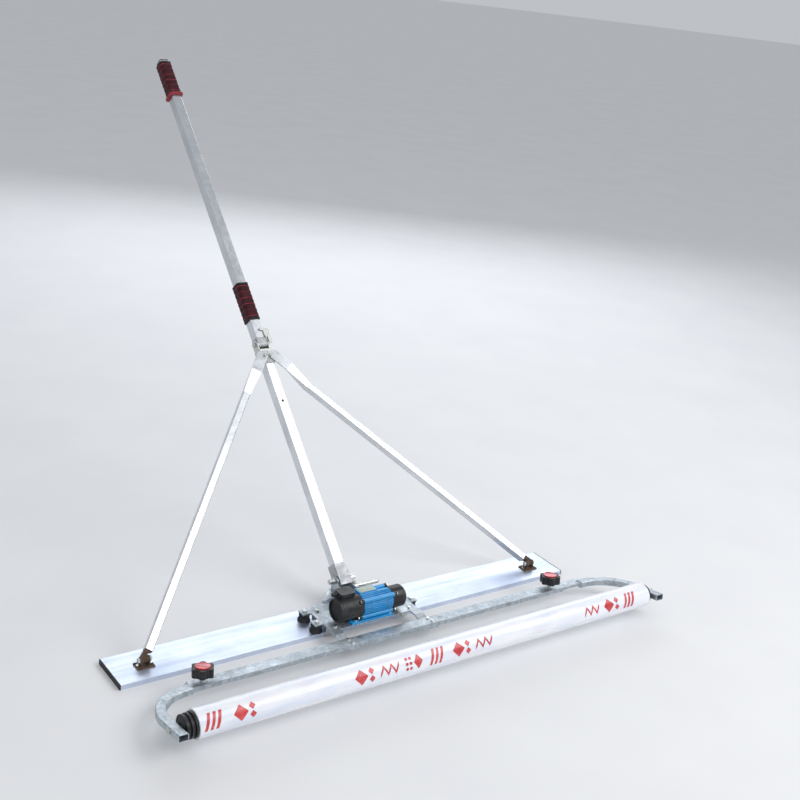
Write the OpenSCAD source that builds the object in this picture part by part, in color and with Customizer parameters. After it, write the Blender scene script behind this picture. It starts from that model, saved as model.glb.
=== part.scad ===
// Power screed with a film-laying frame: a hollow aluminium blade, a vibrator motor on a rubber-mounted
// chassis, a braced folding handle, and a cross-bar whose two bent arms carry a roll of curing film.
// Frame: X along the blade, Y away from the film roll towards the person at the handle, Z up.
// The origin is the centre of the blade's underside.

/* [Blade] */
// Length of the blade over its end caps
blade_length = 1500; // [1200:50:2000]
// Width of the blade, front edge to back edge
blade_width = 125; // [110:1:160]
// Height of the hollow blade section
blade_height = 14; // [12:1:20]

/* [Handle] */
// Angle of the pole above the ground
pole_angle = 43.5; // [38:0.5:50]
// Outside width of the square pole
pole_size = 32; // [30:0.5:35]
// Distance along the pole from its foot bolt to the fold bolt
fold_distance = 757; // [700:1:820]
// Distance along the pole from its foot bolt to its top end
pole_length = 1812; // [1600:1:2000]
// Length of each foam grip
grip_length = 128; // [100:1:140]
// Outside width of the square struts
strut_size = 22; // [20:0.5:25]
// Distance of each strut foot from the middle of the blade
foot_x = 658; // [560:1:700]

/* [Film frame] */
// Angle by which the film frame rises towards the front
film_tilt = 10; // [0:1:15]
// Distance from the middle of the cross-bar to each open end
bar_half = 622; // [580:1:640]
// How far the left arm is drawn out of the cross-bar
left_out = 0; // [0:1:100]
// How far the right arm is drawn out of the cross-bar
right_out = 76; // [60:1:90]
// Radius of the full film roll
roll_radius = 36; // [32:0.5:40]
// Distance from the cross-bar to the axis of the film roll
roll_reach = 164; // [150:1:190]

/* [Motor] */
// Length of the blue motor housing
housing_length = 103; // [95:1:120]
// Radius of the housing under its fins
housing_radius = 29.5; // [29:0.5:31]
// Height of the motor shaft above the ground
shaft_z = 78; // [77:0.5:84]

/* [Hidden] */
$fn = 48;
eps = 0.01;
run_gap = 0.05;      // radial clearance of a running pin
skin_gap = 0.4;      // clearance between parts that slide or swing past each other

// blade section
blade_wall = 2;
cap_t = 3;
blade_body = blade_length - 2 * cap_t;
rib_y = blade_width / 6;
chamber_w = (blade_width - 4 * blade_wall) / 3;
chamber_h = blade_height - 2 * blade_wall;

// pole frame: local Z runs up the pole, local -Y faces the front
pole_y = 75;
pole_z = 73;
pole_wall = 1.5;
collar_s = 704;
collar_len = 32;
grip_low_s = 837;
grip_size = 42;
hole_s = 561;
hole_r = 4.5;

// strut frame: local Z runs from the feet's axis to the hub in the plane of the struts
foot_y = -7;
foot_z = 32;
hub_y = pole_y + collar_s * cos(pole_angle);
hub_z = pole_z + collar_s * sin(pole_angle);
strut_angle = atan2(hub_z - foot_z, hub_y - foot_y);
strut_run = norm([hub_y - foot_y, hub_z - foot_z]);
strut_top_x = 26;
strut_splay = atan2(foot_x - strut_top_x, strut_run);
strut_length = norm([foot_x - strut_top_x, strut_run]);
strut_wall = 1.5;
strut_start = 24;
flat_t = 4;
pin_r = 4;
lug_gap = 18;
lug_t = 4;

// chassis
plate_t = 4;
plate_z = 36;
plate_top = plate_z + plate_t;
rail_x = 135;
rail_w = 30;
damper_x = 162;
damper_front_y = -46;
damper_back_y = 14;
damper_r = 16;
ear_in = 20.4;       // inner face of each ear beside the pole socket
ear_t = 4;

// film frame
bar_x = 6;           // the film frame sits slightly to the right of the blade's middle
bar_y = -168;
bar_z = 40;
bar_w = 40;
bar_h = 12;
bar_wall = 1.6;
tongue_l = 218;
tongue_w = bar_w - 2 * bar_wall - 2;
tongue_h = bar_h - 2 * bar_wall - 0.8;
arm_w = 27;          // width of the arm in the plane of the frame
arm_h = 18;          // height of the arm across that plane
arm_wall = 1.8;
arm_bend = 116.5;
arm_lead = 10;
arm_reach = 210;
arm_dy = -8;         // the arm's front side runs flush with the bar's
arm_dz = -3;         // and its top face with the bar's top
arm_x = bar_half + arm_lead + arm_bend;
knob_x = 585;
knob_r = 30;
knob_h = 23;
knob_rise = 16;      // underside of the knob above the bar's top face
cap_disc_r = 20;
core_r = 29;
core_wall = 2.5;
plug_gap = 3;
plug_long = 32;      // the left plug stands this far out of the roll
plug_short = 14;     // and the right one this far
roll_left = -(arm_x + left_out) + arm_w / 2 + plug_gap + plug_long;
roll_right = arm_x + right_out - arm_w / 2 - plug_gap - plug_short;

// motor
motor_y = -65;
housing_x0 = -45;
housing_x1 = housing_x0 + housing_length;
fin_r = 33;
cover_l_len = 73;
cover_r_len = 47;
cover_r = 33;
cap_r = 31;
cover_wall = 3;
shaft_r = 6;
bearing_r = 13;
bore_r = 26.5;
shield_t = 7;

module pole_frame() translate([0, pole_y, pole_z]) rotate([pole_angle - 90, 0, 0]) children();
module strut_frame(side) translate([0, foot_y, foot_z]) rotate([strut_angle - 90, 0, 0])
    translate([side * foot_x, 0, 0]) rotate([0, -side * strut_splay, 0]) children();
module hub_frame() translate([0, foot_y, foot_z]) rotate([strut_angle - 90, 0, 0])
    translate([0, 0, strut_run]) children();
module bar_frame() translate([bar_x, bar_y, bar_z]) rotate([-film_tilt, 0, 0]) children();
module motor_frame() translate([0, motor_y, shaft_z]) rotate([0, 90, 0]) children();
module both_sides() {
    children();
    mirror([1, 0, 0]) children();
}
module rod(r, x0, x1) translate([x0, 0, 0]) rotate([0, 90, 0]) cylinder(r = r, h = x1 - x0);
module hex(r, x0, x1) translate([x0, 0, 0]) rotate([0, 90, 0]) cylinder(r = r, h = x1 - x0, $fn = 6);
module block(x, y, z) translate([x[0], y[0], z[0]]) cube([x[1] - x[0], y[1] - y[0], z[1] - z[0]]);

// a hex-headed bolt pointing down local -Z, its head's underside at z = 0
module bolt_down(r, length) {
    cylinder(r = 1.75 * r, h = 1.3 * r, $fn = 6);
    translate([0, 0, -length]) cylinder(r = r, h = length + eps);
}

// a square tube along Z with its corners taken off
module square_section(size, corner) {
    h = size / 2;
    c = h - corner;
    polygon([[-h, -c], [-c, -h], [c, -h], [h, -c], [h, c], [c, h], [-c, h], [-h, c]]);
}
module square_tube(size, wall, z0, z1) translate([0, 0, z0]) linear_extrude(z1 - z0) difference() {
    square_section(size, 2);
    square(size - 2 * wall, center = true);
}

// ---- blade ----
module blade() color("gainsboro") difference() {
    block([-blade_body / 2, blade_body / 2], [-blade_width / 2, blade_width / 2], [0, blade_height]);
    for (k = [-1, 0, 1]) translate([0, k * (chamber_w + blade_wall), blade_height / 2])
        cube([blade_body + 2, chamber_w, chamber_h], center = true);
    for (x = [-foot_x - 18, -foot_x + 18, foot_x - 18, foot_x + 18]) translate([x, foot_y, blade_height - 3])
        cylinder(r = 2.5, h = 6);
}

module blade_cap() {
    block([blade_body / 2, blade_length / 2], [-blade_width / 2, blade_width / 2], [0, blade_height]);
    for (k = [-1, 0, 1]) translate([blade_body / 2 - 6 + eps, k * (chamber_w + blade_wall), blade_height / 2])
        cube([12, chamber_w - 0.4, chamber_h - 0.4], center = true);
}
module blade_cap_right() color("dimgray") blade_cap();
module blade_cap_left() color("dimgray") mirror([1, 0, 0]) blade_cap();

// ---- strut feet ----
foot_base_t = 3;
module foot_bracket() translate([foot_x, foot_y, 0]) difference() {
    union() {
        block([-24, 24], [-16, 16], [blade_height, blade_height + foot_base_t]);
        for (s = [-1, 1]) translate([s * (lug_gap + lug_t) / 2, 0, 0]) {
            block([-lug_t / 2, lug_t / 2], [-9, 9], [blade_height + foot_base_t - eps, foot_z]);
            translate([0, 0, foot_z]) rod(9, -lug_t / 2, lug_t / 2);
        }
    }
    translate([0, 0, foot_z]) rod(pin_r, -30, 30);
    for (s = [-1, 1]) translate([s * 18, 0, blade_height - 1]) cylinder(r = 2.6, h = 6);
}
module foot_brackets() color("rosybrown") both_sides() foot_bracket();

module foot_pins() color("silver") both_sides() translate([foot_x, foot_y, foot_z]) {
    rod(pin_r, -20, 20);
    hex(7, -18.5, -13.1);
    hex(7, 13.1, 19);
}

module foot_screws() color("silver") both_sides() for (s = [-1, 1])
    translate([foot_x + s * 18, foot_y, blade_height + foot_base_t]) {
        translate([0, 0, -4.9]) cylinder(r = 2.5, h = 5);
        cylinder(r = 4.5, h = 2.6);
    }

// barrel on the foot pin, running into a spigot inside the strut
module knuckle(side) difference() {
    union() {
        translate([side * foot_x, foot_y, foot_z]) rod(9, -(lug_gap / 2 - skin_gap), lug_gap / 2 - skin_gap);
        translate([side * foot_x, foot_y, foot_z]) rotate([strut_angle - 90, 0, 0])
            block([-8.2, 8.2], [-6, 6], [6, 10.5]);
        hull() {
            translate([side * foot_x, foot_y, foot_z]) rotate([strut_angle - 90, 0, 0])
                block([-8.2, 8.2], [-6, 6], [9.8, 10.5]);
            strut_frame(side) block([-9.3, 9.3], [-8, 8], [26, 27]);
        }
        strut_frame(side) block([-9.35, 9.35], [-9.35, 9.35], [26.5, 60]);
    }
    translate([side * foot_x, foot_y, foot_z]) rod(pin_r + run_gap, -20, 20);
}
module strut_knuckles() color("rosybrown") for (s = [-1, 1]) knuckle(s);

// ---- struts: square tube whose top end is flattened, widened and set on the collar's front ----
flat_y = -(pole_size / 2 + 3.8 + flat_t);      // front face of the flattened ends
flat_from = strut_length - 130;
module strut() difference() {
    union() {
        strut_frame(1) square_tube(strut_size, strut_wall, strut_start, flat_from);
        strut_frame(1) hull() {
            translate([0, 0, flat_from - 3]) cube([strut_size - 0.6, strut_size - 0.6, 2], center = true);
            translate([0, flat_y + flat_t / 2, flat_from + 84]) cube([33.6, flat_t - 0.2, 2], center = true);
        }
        strut_frame(1) block([-17, 17], [flat_y, flat_y + flat_t], [flat_from + 80, flat_from + 168]);
    }
    hub_frame() block([-60, 0.8], [-60, 60], [-160, 80]);
    hub_frame() block([-60, 60], [-60, 60], [20, 90]);
    hub_frame() translate([10, 0, 5]) rotate([90, 0, 0]) cylinder(r = 4, h = 60);
    pole_frame() block([-19.8, 19.8], [-19.8, 19.8], [collar_s - 140, fold_distance + 40]);
}
module strut_left() color("gainsboro") mirror([1, 0, 0]) strut();
module strut_right() color("gainsboro") strut();

// ---- collar that slides on the pole and carries the two struts ----
collar_in = pole_size / 2 + 0.9;
collar_out = pole_size / 2 + 3.4;
module hub_collar() color("silver") difference() {
    pole_frame() block([-collar_out, collar_out], [-collar_out, collar_out],
        [collar_s - collar_len / 2, collar_s + collar_len / 2]);
    pole_frame() block([-collar_in, collar_in], [-collar_in, collar_in], [collar_s - 40, collar_s + 40]);
    hub_frame() for (s = [-1, 1]) translate([s * 10, 0, 5]) rotate([90, 0, 0]) cylinder(r = 4, h = 60);
}

module hub_bolts() color("silver") difference() {
    hub_frame() for (s = [-1, 1]) translate([s * 10, flat_y, 5]) rotate([90, 0, 0]) {
        translate([0, 0, -8]) cylinder(r = 4, h = 8.5);
        cylinder(r = 7, h = 4.5, $fn = 6);
    }
    pole_frame() block([-collar_in, collar_in], [-collar_in, collar_in], [collar_s - 40, collar_s + 40]);
}

// ---- pole ----
lower_top = fold_distance - 22;
module lower_pole() color("gainsboro") pole_frame() difference() {
    square_tube(pole_size, pole_wall, -14, lower_top);
    rod(5 + run_gap, -30, 30);
    translate([0, 0, hole_s]) rotate([90, 0, 0]) cylinder(r = hole_r, h = 30);
}

socket_out = pole_size / 2 + 3.5;
module pole_socket() color("lightsteelblue") pole_frame() difference() {
    block([-socket_out, socket_out], [-socket_out, socket_out], [-18, 46]);
    block([-pole_size / 2, pole_size / 2], [-pole_size / 2, pole_size / 2], [-14, 50]);
    rod(5 + run_gap, -30, 30);
}

module socket_bolt() color("silver") translate([0, pole_y, pole_z]) {
    rod(5, -46, 43);
    hex(9, -36, -ear_in - ear_t);
    hex(8, -44, -37);
}

// crank that nips the ears onto the socket
crank_y = -27;
crank_z = -13;
crank_x = ear_in + ear_t + 2;
module tilt_crank() color("darkgray") translate([0, pole_y, pole_z]) difference() {
    union() {
        rod(10, crank_x, crank_x + 12);
        translate([crank_x, 0, 0]) rotate([atan2(-crank_y, crank_z), 0, 0])
            block([0, 8], [-7, 7], [0, norm([crank_y, crank_z])]);
        translate([0, crank_y, crank_z]) rod(6.5, crank_x, 106);
        translate([106, crank_y, crank_z]) sphere(r = 6.5);
    }
    rod(5 + run_gap, 10, 60);
}

// ---- chassis ----
module ear() difference() {
    union() {
        block([ear_in, ear_in + ear_t], [pole_y - 18, pole_y + 14], [plate_top - eps, pole_z]);
        translate([0, pole_y - 2, pole_z]) rod(14, ear_in, ear_in + ear_t);
        // gusset from the ear down to the plate
        translate([0, 36, 0]) rotate([90, 0, 0]) linear_extrude(4)
            polygon([[ear_in, plate_top - eps], [ear_in, pole_z - 6], [ear_in + 8, pole_z - 6],
                [92, plate_top - eps]]);
        block([ear_in, ear_in + ear_t], [32, pole_y - 14], [plate_top - eps, pole_z - 6]);
    }
    translate([0, pole_y, pole_z]) rod(5, 10, 60);
}
module base_plate() color("darkgray") difference() {
    union() {
        translate([0, 0, plate_z]) linear_extrude(plate_t) polygon([[-rail_x + rail_w / 2, -98],
            [rail_x - rail_w / 2, -98], [rail_x - rail_w / 2, 30], [96, 32], [28, 92], [-28, 92], [-96, 32],
            [-rail_x + rail_w / 2, 30]]);
        both_sides() ear();
    }
    for (x = [-64, 52]) for (y = [-89, -41]) translate([x, y, plate_z - 1]) cylinder(r = 3.3, h = 10);
}

// a rail runs flat beside the motor, then steps down to lie under the cross-bar
module rail_profile() {
    c = cos(film_tilt);
    s = sin(film_tilt);
    under = bar_h / 2 + plate_t;
    back = [bar_y + 22 * c - bar_h / 2 * s, bar_z - 22 * s - bar_h / 2 * c];
    front = [bar_y - 20 * c - bar_h / 2 * s, bar_z + 20 * s - bar_h / 2 * c];
    back_low = [bar_y + 22 * c - under * s, bar_z - 22 * s - under * c];
    front_low = [bar_y - 20 * c - under * s, bar_z + 20 * s - under * c];
    polygon([[30, plate_z], [30, plate_top], [-118, plate_top], back, front, front_low, back_low,
        [-119, plate_z]]);
}
module rail() difference() {
    union() {
        translate([rail_x - rail_w / 2, 0, 0]) rotate([90, 0, 90]) linear_extrude(rail_w) rail_profile();
        // stiffening lip along the outer edge
        block([rail_x + rail_w / 2 - 3, rail_x + rail_w / 2], [-28, -5], [plate_z - 12, plate_z + eps]);
        // ears over the dampers
        for (y = [damper_front_y, damper_back_y])
            block([rail_x + rail_w / 2 - eps, damper_x + 13], [y - 13, y + 13], [plate_z, plate_top]);
    }
    for (y = [damper_front_y, damper_back_y]) translate([damper_x, y, plate_z - 1]) cylinder(r = 4, h = 8);
    translate([-bar_x, 0, 0]) bar_frame() for (y = [-10, 10]) translate([rail_x, y, -20])
        cylinder(r = 3, h = 40);
    translate([rail_x - 6, 4, plate_z - 1]) cylinder(r = 4, h = 8);
    translate([rail_x - 8, -84, plate_z - 1]) cylinder(r = 3, h = 8);
}
module rail_right() color("darkgray") rail();
module rail_left() color("darkgray") mirror([1, 0, 0]) rail();

module rubber_dampers() color("black") both_sides() for (y = [damper_front_y, damper_back_y])
    translate([damper_x, y, blade_height]) difference() {
        rotate_extrude() polygon([[0, 0], [damper_r + 2, 0], [damper_r + 2, 3], [damper_r - 2, 11],
            [damper_r, 19], [damper_r, plate_z - blade_height], [0, plate_z - blade_height]]);
        translate([0, 0, 6]) cylinder(r = 4, h = 20);
    }

module damper_bolts() color("silver") both_sides() {
    for (y = [damper_front_y, damper_back_y]) translate([damper_x, y, plate_top]) bolt_down(4, 20);
    translate([rail_x - 6, 4, plate_top]) bolt_down(4, 8);
    translate([rail_x - 8, -84, plate_top]) bolt_down(3, 7);
}

// zinc angle beside each front damper, from the blade's front edge up to the rail
bracket_x = rail_x - 6;
module damper_brackets() color("whitesmoke") both_sides() difference() {
    union() {
        block([bracket_x - 9, bracket_x + 13], [-65.5, -62.7], [2, plate_z]);
        block([bracket_x - 9, bracket_x + 13], [-65.5, -50], [plate_z - 3, plate_z]);
    }
    translate([bracket_x + 2, -60, 22]) rotate([90, 0, 0]) cylinder(r = 3, h = 12);
}

// ---- cross-bar and arms ----
module cross_bar() color("lightsteelblue") bar_frame() difference() {
    block([-bar_half, bar_half], [-bar_w / 2, bar_w / 2], [-bar_h / 2, bar_h / 2]);
    block([-bar_half - 1, bar_half + 1], [-bar_w / 2 + bar_wall, bar_w / 2 - bar_wall],
        [-bar_h / 2 + bar_wall, bar_h / 2 - bar_wall]);
    for (s = [-1, 1]) {
        translate([s * knob_x, 0, 0]) cylinder(r = 4.2, h = 20);
        for (y = [-10, 10]) translate([s * rail_x - bar_x, y, -20]) cylinder(r = 3, h = 40);
    }
}

module bar_bolts() color("silver") bar_frame() for (x = [-rail_x, rail_x]) for (y = [-10, 10])
    translate([x - bar_x, y, bar_h / 2]) bolt_down(3, bar_h + plate_t + 5);

module arm(out) bar_frame() translate([out, 0, 0]) {
    block([bar_half - tongue_l, bar_half + 4], [-tongue_w / 2, tongue_w / 2], [-tongue_h / 2, tongue_h / 2]);
    difference() {
        arm_tube(0, 2.5);
        arm_tube(arm_wall, eps);
        // hole for the plug's pin
        translate([0, -roll_reach, arm_dz]) rod(5, arm_x - 20, arm_x + 20);
    }
}
module arm_section(inset, corner) {
    w = arm_w / 2 - inset;
    h = arm_h / 2 - inset;
    polygon([[-w, -h + corner], [-w + corner, -h], [w - corner, -h], [w, -h + corner],
        [w, h - corner], [w - corner, h], [-w + corner, h], [-w, h - corner]]);
}
module arm_tube(inset, corner) translate([0, arm_dy, arm_dz]) {
    start = inset > 0 ? 4 : 0;
    translate([bar_half + start, 0, 0]) rotate([90, 0, 90])
        linear_extrude(arm_lead - start + eps) arm_section(inset, corner);
    translate([bar_half + arm_lead, -arm_bend, 0]) rotate_extrude(angle = 90, $fn = 96)
        translate([arm_bend, 0]) arm_section(inset, corner);
    translate([arm_x, -arm_bend + eps, 0]) rotate([90, 0, 0])
        linear_extrude(arm_reach + arm_dy - arm_bend + (inset > 0 ? 1 : 0)) arm_section(inset, corner);
}
module arm_right() color("slategray") arm(right_out);
module arm_left() color("slategray") mirror([1, 0, 0]) translate([-2 * bar_x, 0, 0]) arm(left_out);

// ---- clamping knobs ----
nut_h = 6.5;
module knob_nuts() color("silver") bar_frame() both_sides() translate([knob_x, 0, bar_h / 2]) difference() {
    cylinder(r = 8, h = nut_h, $fn = 6);
    translate([0, 0, -1]) cylinder(r = 4 + run_gap, h = 10);
}
module knob_screw(side) bar_frame() translate([side * knob_x, 0, tongue_h / 2 + 0.05])
    cylinder(r = 4, h = bar_h / 2 - tongue_h / 2 + knob_rise + 12);
module knob_screw_left() color("silver") knob_screw(-1);
module knob_screw_right() color("silver") knob_screw(1);
module knob_body(side) bar_frame() translate([side * knob_x, 0, bar_h / 2 + knob_rise]) difference() {
    union() {
        cylinder(r = knob_r - 5.5, h = knob_h);
        for (a = [0 : 60 : 300]) rotate(a) translate([knob_r - 8.5, 0, 0]) cylinder(r = 8.5, h = knob_h);
    }
    for (a = [30 : 60 : 330]) rotate(a) translate([knob_r + 1.5, 0, -1]) cylinder(r = 7, h = knob_h + 2);
    translate([0, 0, -1]) cylinder(r = 4, h = 13.05 - eps);
    translate([0, 0, knob_h - 2]) cylinder(r = cap_disc_r, h = 5);
}
module knob_left() color("black") knob_body(-1);
module knob_right() color("black") knob_body(1);
module knob_cap(side) bar_frame() translate([side * knob_x, 0, bar_h / 2 + knob_rise + knob_h - 2])
    cylinder(r = cap_disc_r, h = 3.2);
module knob_cap_left() color("crimson") knob_cap(-1);
module knob_cap_right() color("crimson") knob_cap(1);

// ---- film roll and its plugs ----
module roll_frame() bar_frame() translate([0, -roll_reach, arm_dz]) children();
module film_roll() color("white") roll_frame() difference() {
    rod(roll_radius, roll_left, roll_right, $fn = 96);
    rod(core_r, roll_left - 1, roll_right + 1, $fn = 96);
}
module roll_core() color("burlywood") roll_frame() difference() {
    rod(core_r, roll_left, roll_right, $fn = 96);
    rod(core_r - core_wall, roll_left - 1, roll_right + 1, $fn = 96);
}
plug_in = 42;
plug_r = core_r - core_wall - 0.3;
// each plug's axis is X here, its outer face at x = 0; the outline starts at the bore and ends inside the roll
module plug_turned(flange, outline) rotate([0, 90, 0]) rotate_extrude($fn = 64)
    polygon(concat([[5 + run_gap, 0]], outline, [[plug_r, -flange + 0.4], [plug_r, -flange - plug_in],
        [plug_r - 3, -flange - plug_in], [plug_r - 3, -flange - 4], [11, -flange - 4],
        [11, -flange - 12], [5 + run_gap, -flange - 12]]));
module plug_right() color("black") roll_frame() translate([roll_right + plug_short, 0, 0])
    plug_turned(plug_short, [[14, 0], [20, -2], [29, -2], [29, -7], [26, -8], [26, -10], [32, -11],
        [32, -plug_short + 0.4]]);
module plug_left() color("black") roll_frame() mirror([1, 0, 0]) translate([-roll_left + plug_long, 0, 0])
    plug_turned(plug_long, [[14, 0], [22, -3], [30, -3], [30, -10], [26, -11], [26, -14], [31, -15],
        [31, -21], [27, -22], [27, -25], [32, -26], [32, -plug_long + 0.4]]);
// pin through the arm that the plug turns on
module plug_pin(out, flange) roll_frame() {
    rod(5, arm_x + out - arm_w / 2 - plug_gap - flange - 14, arm_x + out + arm_w / 2);
    hex(8.5, arm_x + out + arm_w / 2, arm_x + out + arm_w / 2 + 4.5);
}
module plug_pin_right() color("silver") plug_pin(right_out, plug_short);
module plug_pin_left() color("silver") mirror([1, 0, 0]) translate([-2 * bar_x, 0, 0])
    plug_pin(left_out, plug_long);

// ---- fold joint of the pole ----
fold_ear_in = pole_size / 2 + 0.5;
fold_ear_t = 3;
bracket_low = fold_distance - 29;
module fold_bracket() color("silver") pole_frame() difference() {
    union() {
        // band round the lower pole
        block([-fold_ear_in - fold_ear_t, fold_ear_in + fold_ear_t],
            [-pole_size / 2 - 2.2, pole_size / 2 + 2.2], [bracket_low, lower_top]);
        for (s = [-1, 1]) translate([s * (fold_ear_in + fold_ear_t / 2), 0, 0]) {
            block([-fold_ear_t / 2, fold_ear_t / 2], [-15, 15], [bracket_low, fold_distance]);
            translate([0, 0, fold_distance]) rod(15, -fold_ear_t / 2, fold_ear_t / 2);
        }
    }
    block([-pole_size / 2, pole_size / 2], [-pole_size / 2, pole_size / 2], [bracket_low - 1, lower_top + 1]);
    block([-fold_ear_in, fold_ear_in], [-pole_size / 2, pole_size / 2], [lower_top - 3, fold_distance + 30]);
    translate([0, 0, fold_distance]) rod(4 + run_gap, -40, 40);
}
module fold_knuckle() color("darkgray") pole_frame() difference() {
    union() {
        translate([0, 0, fold_distance]) rod(15.6, -pole_size / 2, pole_size / 2);
        block([-pole_size / 2, pole_size / 2], [-15.6, 15.6], [fold_distance, fold_distance + 18]);
        block([-14.4, 14.4], [-14.4, 14.4], [fold_distance + 17, fold_distance + 62]);
    }
    translate([0, 0, fold_distance]) rod(4, -40, 40);
}
lever_x = fold_ear_in + fold_ear_t + 7;      // pivot of the lever, beside the right ear
module fold_bolt() color("silver") pole_frame() translate([0, 0, fold_distance]) {
    rod(4, -fold_ear_in - fold_ear_t - 8, lever_x - 3.4);
    hex(7.5, -fold_ear_in - fold_ear_t - 6.3, -fold_ear_in - fold_ear_t - 0.3);
    // eye that the lever's cam turns on
    translate([lever_x, 0, 0]) rotate([90, 0, 0]) difference() {
        cylinder(r = 4.5, h = 7, center = true);
        cylinder(r = 2 + run_gap, h = 9, center = true);
    }
}
// cam lever on the bolt's eye: it turns about an axis square to the pole's front face
module fold_lever() color("silver") pole_frame() translate([lever_x, 0, fold_distance]) {
    rotate([90, 0, 0]) cylinder(r = 2, h = 15, center = true);
    for (s = [-1, 1]) translate([0, s * 5.75, 0]) rotate([90, 0, 0]) cylinder(r = 5.6, h = 3.5, center = true);
    for (s = [-1, 1]) block([0, 5.6], s > 0 ? [4, 7.5] : [-7.5, -4], [0, 16]);
    block([2.6, 5.6], [-20.6, 7.5], [8, 40]);
    // plate over the pole's front face, hooked at its top
    translate([0, -17.6, 0]) rotate([90, 0, 0]) linear_extrude(3) polygon([[-5.5, -4], [5.6, -4],
        [5.6, 40], [-8, 47], [-24, 47], [-24, 41], [-14, 39], [-13, 16.5], [-5.5, 16.5]]);
}
module upper_pole() color("gainsboro") pole_frame()
    square_tube(pole_size, pole_wall, fold_distance + 18.2, pole_length);

module grip_section(size, round) {
    h = size / 2;
    for (x = [-h + round, h - round]) for (y = [-h + round, h - round]) translate([x, y]) circle(r = round);
    square([size, size - 2 * round], center = true);
    square([size - 2 * round, size], center = true);
}
module grip() difference() {
    linear_extrude(grip_length) grip_section(grip_size, 9);
    translate([0, 0, -1]) linear_extrude(grip_length + 2) square_section(pole_size + 0.2, 2);
}
module grip_lower() color("maroon") pole_frame() translate([0, 0, grip_low_s]) grip();
grip_top_s = pole_length - 6 - grip_length;
module grip_upper() color("maroon") pole_frame() translate([0, 0, grip_top_s]) {
    grip();
    difference() {
        translate([0, 0, -5]) linear_extrude(8) grip_section(grip_size + 8, 11);
        translate([0, 0, -6]) linear_extrude(12) square_section(pole_size + 0.2, 2);
    }
}
module pole_end_cap() color("black") pole_frame() {
    translate([0, 0, pole_length]) linear_extrude(4) square_section(pole_size, 3);
    block([-14, 14], [-14, 14], [pole_length - 18, pole_length + eps]);
}

// ---- motor: local Z is the shaft, which points to +X ----
corner_bolt_r = 35.6;
module corner_ears(z0, z1) for (a = [45 : 90 : 315]) rotate(a) translate([corner_bolt_r - 1, 0, z0])
    cylinder(r = 6.3, h = z1 - z0);
fin_angles = [60, 70, 80, 90, 100, 110, 184, 194, 204, 240, 250, 260, 270, 280, 290, 300];
module motor_housing() color("deepskyblue") difference() {
    union() {
        motor_frame() translate([0, 0, housing_x0]) cylinder(r = housing_radius, h = housing_length);
        motor_frame() corner_ears(housing_x0, housing_x1);
        // cooling fins along the housing
        motor_frame() for (a = fin_angles) rotate(a) translate([housing_radius - 1, -1.3, housing_x0 + 3])
            cube([fin_r - housing_radius + 1, 2.6, housing_length - 6]);
        // top pad under the name plate
        block([housing_x0 + 6, housing_x0 + 64], [motor_y + 2, motor_y + 30], [shaft_z + 18, shaft_z + 34]);
        // feet
        block([-80, 62], [motor_y - 32, motor_y - 15], [plate_top, plate_top + 6]);
        block([-80, 62], [motor_y + 15, motor_y + 32], [plate_top, plate_top + 6]);
        for (s = [-1, 1]) translate([0, motor_y + s * 15.5, 0])
            block([housing_x0 + 2, housing_x1 - 2], [-2.5, 2.5], [plate_top + 5, shaft_z - 23.3]);
    }
    motor_frame() translate([0, 0, housing_x0 - 1]) cylinder(r = bore_r, h = housing_length + 2);
    motor_frame() for (a = [45 : 90 : 315]) rotate(a) translate([corner_bolt_r, 0, housing_x0 - 1])
        cylinder(r = 2, h = housing_length + 2);
    for (x = [-64, 52]) for (y = [-24, 24]) translate([x, motor_y + y, plate_z]) {
        cylinder(r = 3.3, h = 14);
        translate([0, 0, 10.01]) cylinder(r = 6.4, h = 5);
    }
}

module end_shields() color("darkgray") motor_frame() for (z = [housing_x0, housing_x1 - shield_t])
    translate([0, 0, z]) difference() {
        cylinder(r = bore_r, h = shield_t);
        translate([0, 0, -1]) cylinder(r = bearing_r, h = shield_t + 2);
    }

module bearings() color("silver") motor_frame() for (z = [housing_x0, housing_x1 - shield_t])
    translate([0, 0, z]) difference() {
        cylinder(r = bearing_r, h = shield_t);
        translate([0, 0, -1]) cylinder(r = shaft_r + 0.03, h = shield_t + 2);
    }

module stator() color("peru") motor_frame() translate([0, 0, housing_x0 + 20]) difference() {
    cylinder(r = bore_r, h = housing_length - 40);
    translate([0, 0, -1]) cylinder(r = 16.5, h = housing_length);
}

rotor_x0 = housing_x0 - 58;
rotor_x1 = housing_x1 + 34;
module motor_shaft() color("silver") motor_frame() translate([0, 0, rotor_x0])
    cylinder(r = shaft_r, h = rotor_x1 - rotor_x0);
module rotor_core() color("gray") motor_frame() translate([0, 0, housing_x0 + 22]) difference() {
    cylinder(r = 16, h = housing_length - 44);
    translate([0, 0, -1]) cylinder(r = shaft_r, h = housing_length);
}
// half discs that shake the blade as the shaft turns
module eccentric_weights() color("dimgray") motor_frame()
    for (z = [rotor_x0 + 10, rotor_x0 + 26, housing_x1 + 12]) translate([0, 0, z]) difference() {
        union() {
            intersection() {
                cylinder(r = 26, h = 12);
                translate([0, -30, 0]) cube([60, 60, 12]);
            }
            cylinder(r = 10, h = 12);
        }
        translate([0, 0, -1]) cylinder(r = shaft_r, h = 14);
    }

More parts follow.
